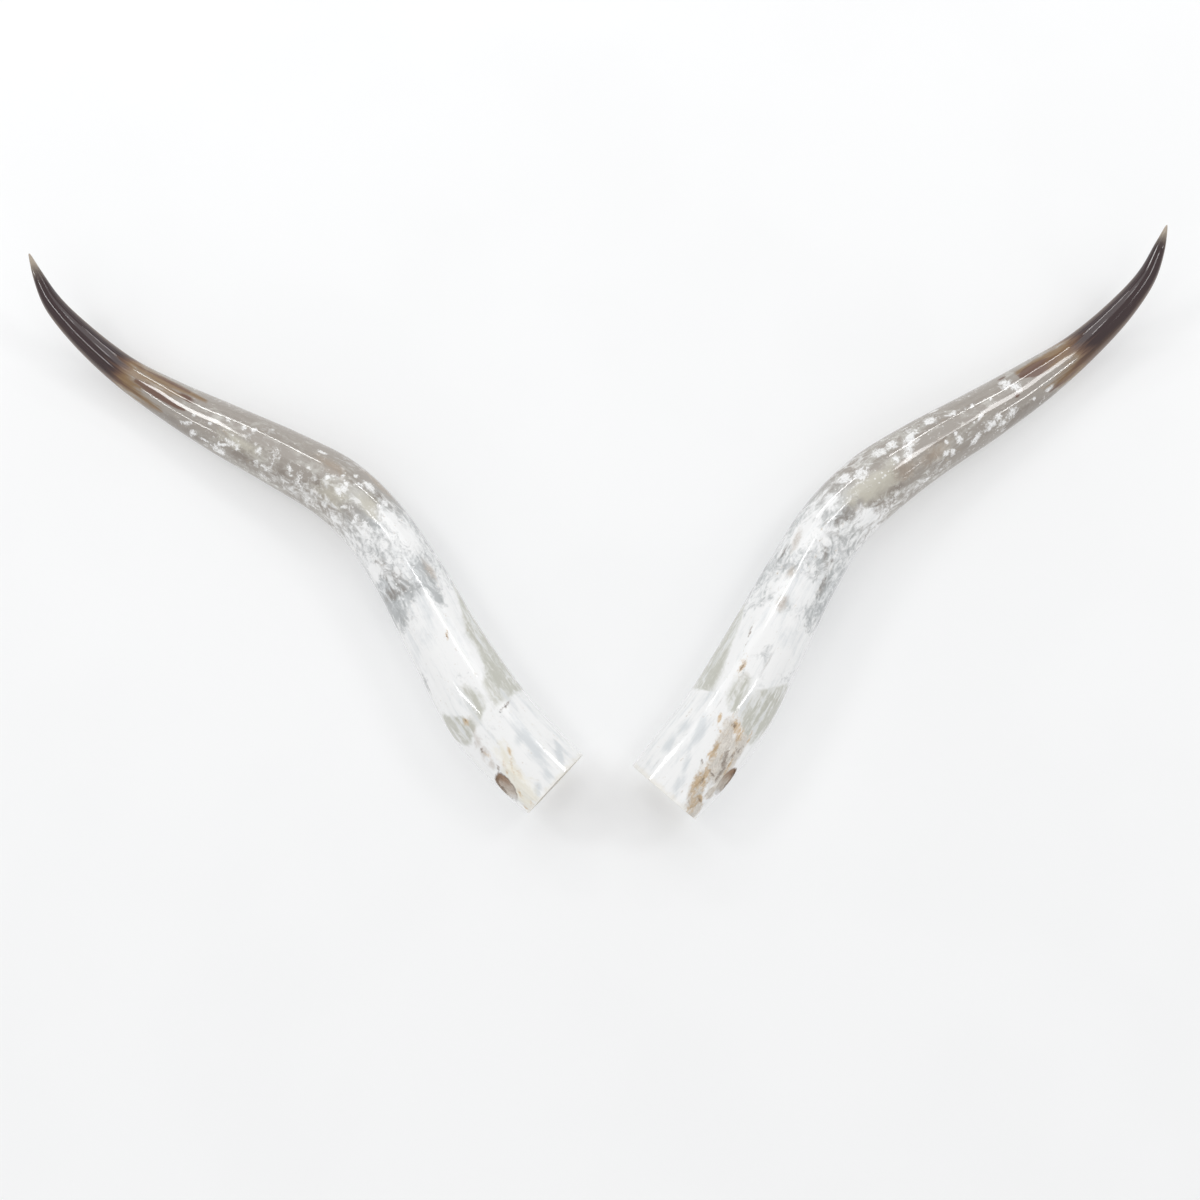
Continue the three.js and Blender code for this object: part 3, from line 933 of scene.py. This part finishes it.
def sawn_material(colours):
    """Sawn horn: the layered rim and the fibrous wall of the hollow."""
    shader = Shader("horn_sawn")
    plain = shader.unrolled()
    axes = shader.add("SeparateXYZ", {"Vector": plain}).outputs
    layers = shader.noise(shader.unrolled(0.2), 3)
    fibres = shader.noise(shader.unrolled(12.0), 4, 4.0, 0.6)
    clouds = shader.noise(plain, 18)
    inside = shader.edge(axes["X"], 1.5 * MM, 6 * MM)
    layered = shader.edge(shader.weighted((layers, 1.0), (clouds, 1.0)), -0.15, 0.2, 0.7)
    rim = shader.layer(colours.sawn, colours.white, layered)
    fibrous = shader.edge(shader.weighted((fibres, 1.0), (clouds, 1.2)), -0.1, 0.3, 0.6)
    wall = shader.layer(colours.hollow, colours.cream, fibrous)
    wave = {"Vector": plain, "Scale": SAW_MARK_SCALE, "Distortion": 2.0, "Detail": 2.0}
    kerf = shader.add("TexWave", wave, bands_direction="Z").outputs["Fac"]
    relief = shader.weighted((fibres, 0.5), (kerf, 0.03), (layers, 0.06))
    return shader.finished({
        "Base Color": shader.layer(rim, wall, inside),
        "Roughness": shader.weighted((clouds, 0.2), (0.62, 1.0)),
        "Normal": shader.bump(relief),
    })


def floor_material(stage):
    """A matt pale surface, slightly uneven in tone."""
    shader = Shader("pale_floor")
    place = shader.add("TexCoord", {}).outputs["Object"]
    clouds = shader.noise(place, 300, 2.0)
    darker = tuple(FLOOR_DARKER * value for value in stage.floor_colour)
    return shader.finished({
        "Base Color": shader.layer(tuple(stage.floor_colour), darker, shader.edge(clouds, -0.1, 0.1)),
        "Roughness": FLOOR_ROUGHNESS,
        "Specular IOR Level": FLOOR_SPECULAR,
        "Emission Color": PLAIN_WHITE,
        "Emission Strength": stage.floor_glow,
    })


class HORNS_OT_polished_horn(bpy.types.Operator):
    """Model one polished horn with its hollow base, its lost flake and its markings"""

    bl_idname = "mesh.polished_horn_add"
    bl_label = "Polished Horn"
    bl_options = {"REGISTER", "UNDO"}

    side: EnumProperty(
        name="Side", description="Which horn of the pair",
        items=(("LEFT", "Left", "The horn whose point lies to the left"),
               ("RIGHT", "Right", "The horn whose point lies to the right")),
        default="LEFT",
    )

    def execute(self, context):
        shape = context.scene.horn_shape
        colours = context.scene.horn_colours
        node = f"{self.side.lower()}_horn"
        line = HornLine(self.side, shape)
        sheath = bpy.data.materials.get("horn_sheath") or sheath_material(colours)
        sawn = bpy.data.materials.get("horn_sawn") or sawn_material(colours)
        horn = model_horn(f"polished_{node}", line, shape, sheath, sawn)
        flake_off(horn, line, self.side)
        bpy.ops.object.shade_smooth_by_angle(angle=CREASE_ANGLE)
        paint_marks(horn, line, self.side)
        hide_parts(node)
        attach(horn, "root")
        return {"FINISHED"}


class HORNS_OT_stage(bpy.types.Operator):
    """Lay a pale floor, hang the strip lights and set the camera"""

    bl_idname = "scene.horn_stage_set"
    bl_label = "Stage"
    bl_options = {"REGISTER", "UNDO"}

    def execute(self, context):
        stage = context.scene.horn_stage
        deselect_all()
        bpy.ops.mesh.primitive_plane_add(size=stage.floor_size)
        floor = context.object
        floor.name = "pale_floor"
        floor.data.materials.append(floor_material(stage))
        for name, x, y, z, tilt, long, wide, power in LIGHTS:
            bpy.ops.object.light_add(type="AREA", location=(x, y, z),
                                     rotation=(math.radians(tilt), 0.0, 0.0))
            strip = context.object
            strip.name = name
            strip.data.shape = "RECTANGLE"
            strip.data.size = long
            strip.data.size_y = wide
            strip.data.energy = power
            strip.visible_camera = False
        room = bpy.data.worlds.new("pale_room")
        room.use_nodes = True
        backdrop = room.node_tree.nodes["Background"]
        backdrop.inputs["Color"].default_value = PLAIN_WHITE
        backdrop.inputs["Strength"].default_value = stage.room_light
        context.scene.world = room
        bpy.ops.object.camera_add(location=stage.camera_place, rotation=stage.camera_turn)
        camera = context.object
        camera.name = "camera"
        camera.data.angle = stage.camera_view
        context.scene.camera = camera
        context.scene.view_settings.view_transform = "Standard"
        return {"FINISHED"}


class HORNS_PT_sidebar(bpy.types.Panel):
    """The horns in the 3D view's sidebar"""

    bl_idname = "HORNS_PT_sidebar"
    bl_label = "Polished Horns"
    bl_space_type = "VIEW_3D"
    bl_region_type = "UI"
    bl_category = "Horns"

    def draw(self, context):
        column = self.layout.column()
        for side in ("LEFT", "RIGHT"):
            column.operator(HORNS_OT_polished_horn.bl_idname, text=f"{side.title()} Horn").side = side
        column.operator(HORNS_OT_stage.bl_idname)
        for group in (context.scene.horn_shape, context.scene.horn_colours, context.scene.horn_stage):
            box = self.layout.box()
            for name in group.__annotations__:
                box.prop(group, name)


CLASSES = (HornShape, HornColours, HornStage, HORNS_OT_polished_horn, HORNS_OT_stage, HORNS_PT_sidebar)


def register():
    for cls in CLASSES:
        bpy.utils.register_class(cls)
    bpy.types.Scene.horn_shape = PointerProperty(type=HornShape)
    bpy.types.Scene.horn_colours = PointerProperty(type=HornColours)
    bpy.types.Scene.horn_stage = PointerProperty(type=HornStage)


def unregister():
    del bpy.types.Scene.horn_stage
    del bpy.types.Scene.horn_colours
    del bpy.types.Scene.horn_shape
    for cls in reversed(CLASSES):
        bpy.utils.unregister_class(cls)


def main():
    register()
    bpy.ops.mesh.polished_horn_add(side="LEFT")
    bpy.ops.mesh.polished_horn_add(side="RIGHT")
    bpy.ops.scene.horn_stage_set()


if __name__ == "__main__":
    main()
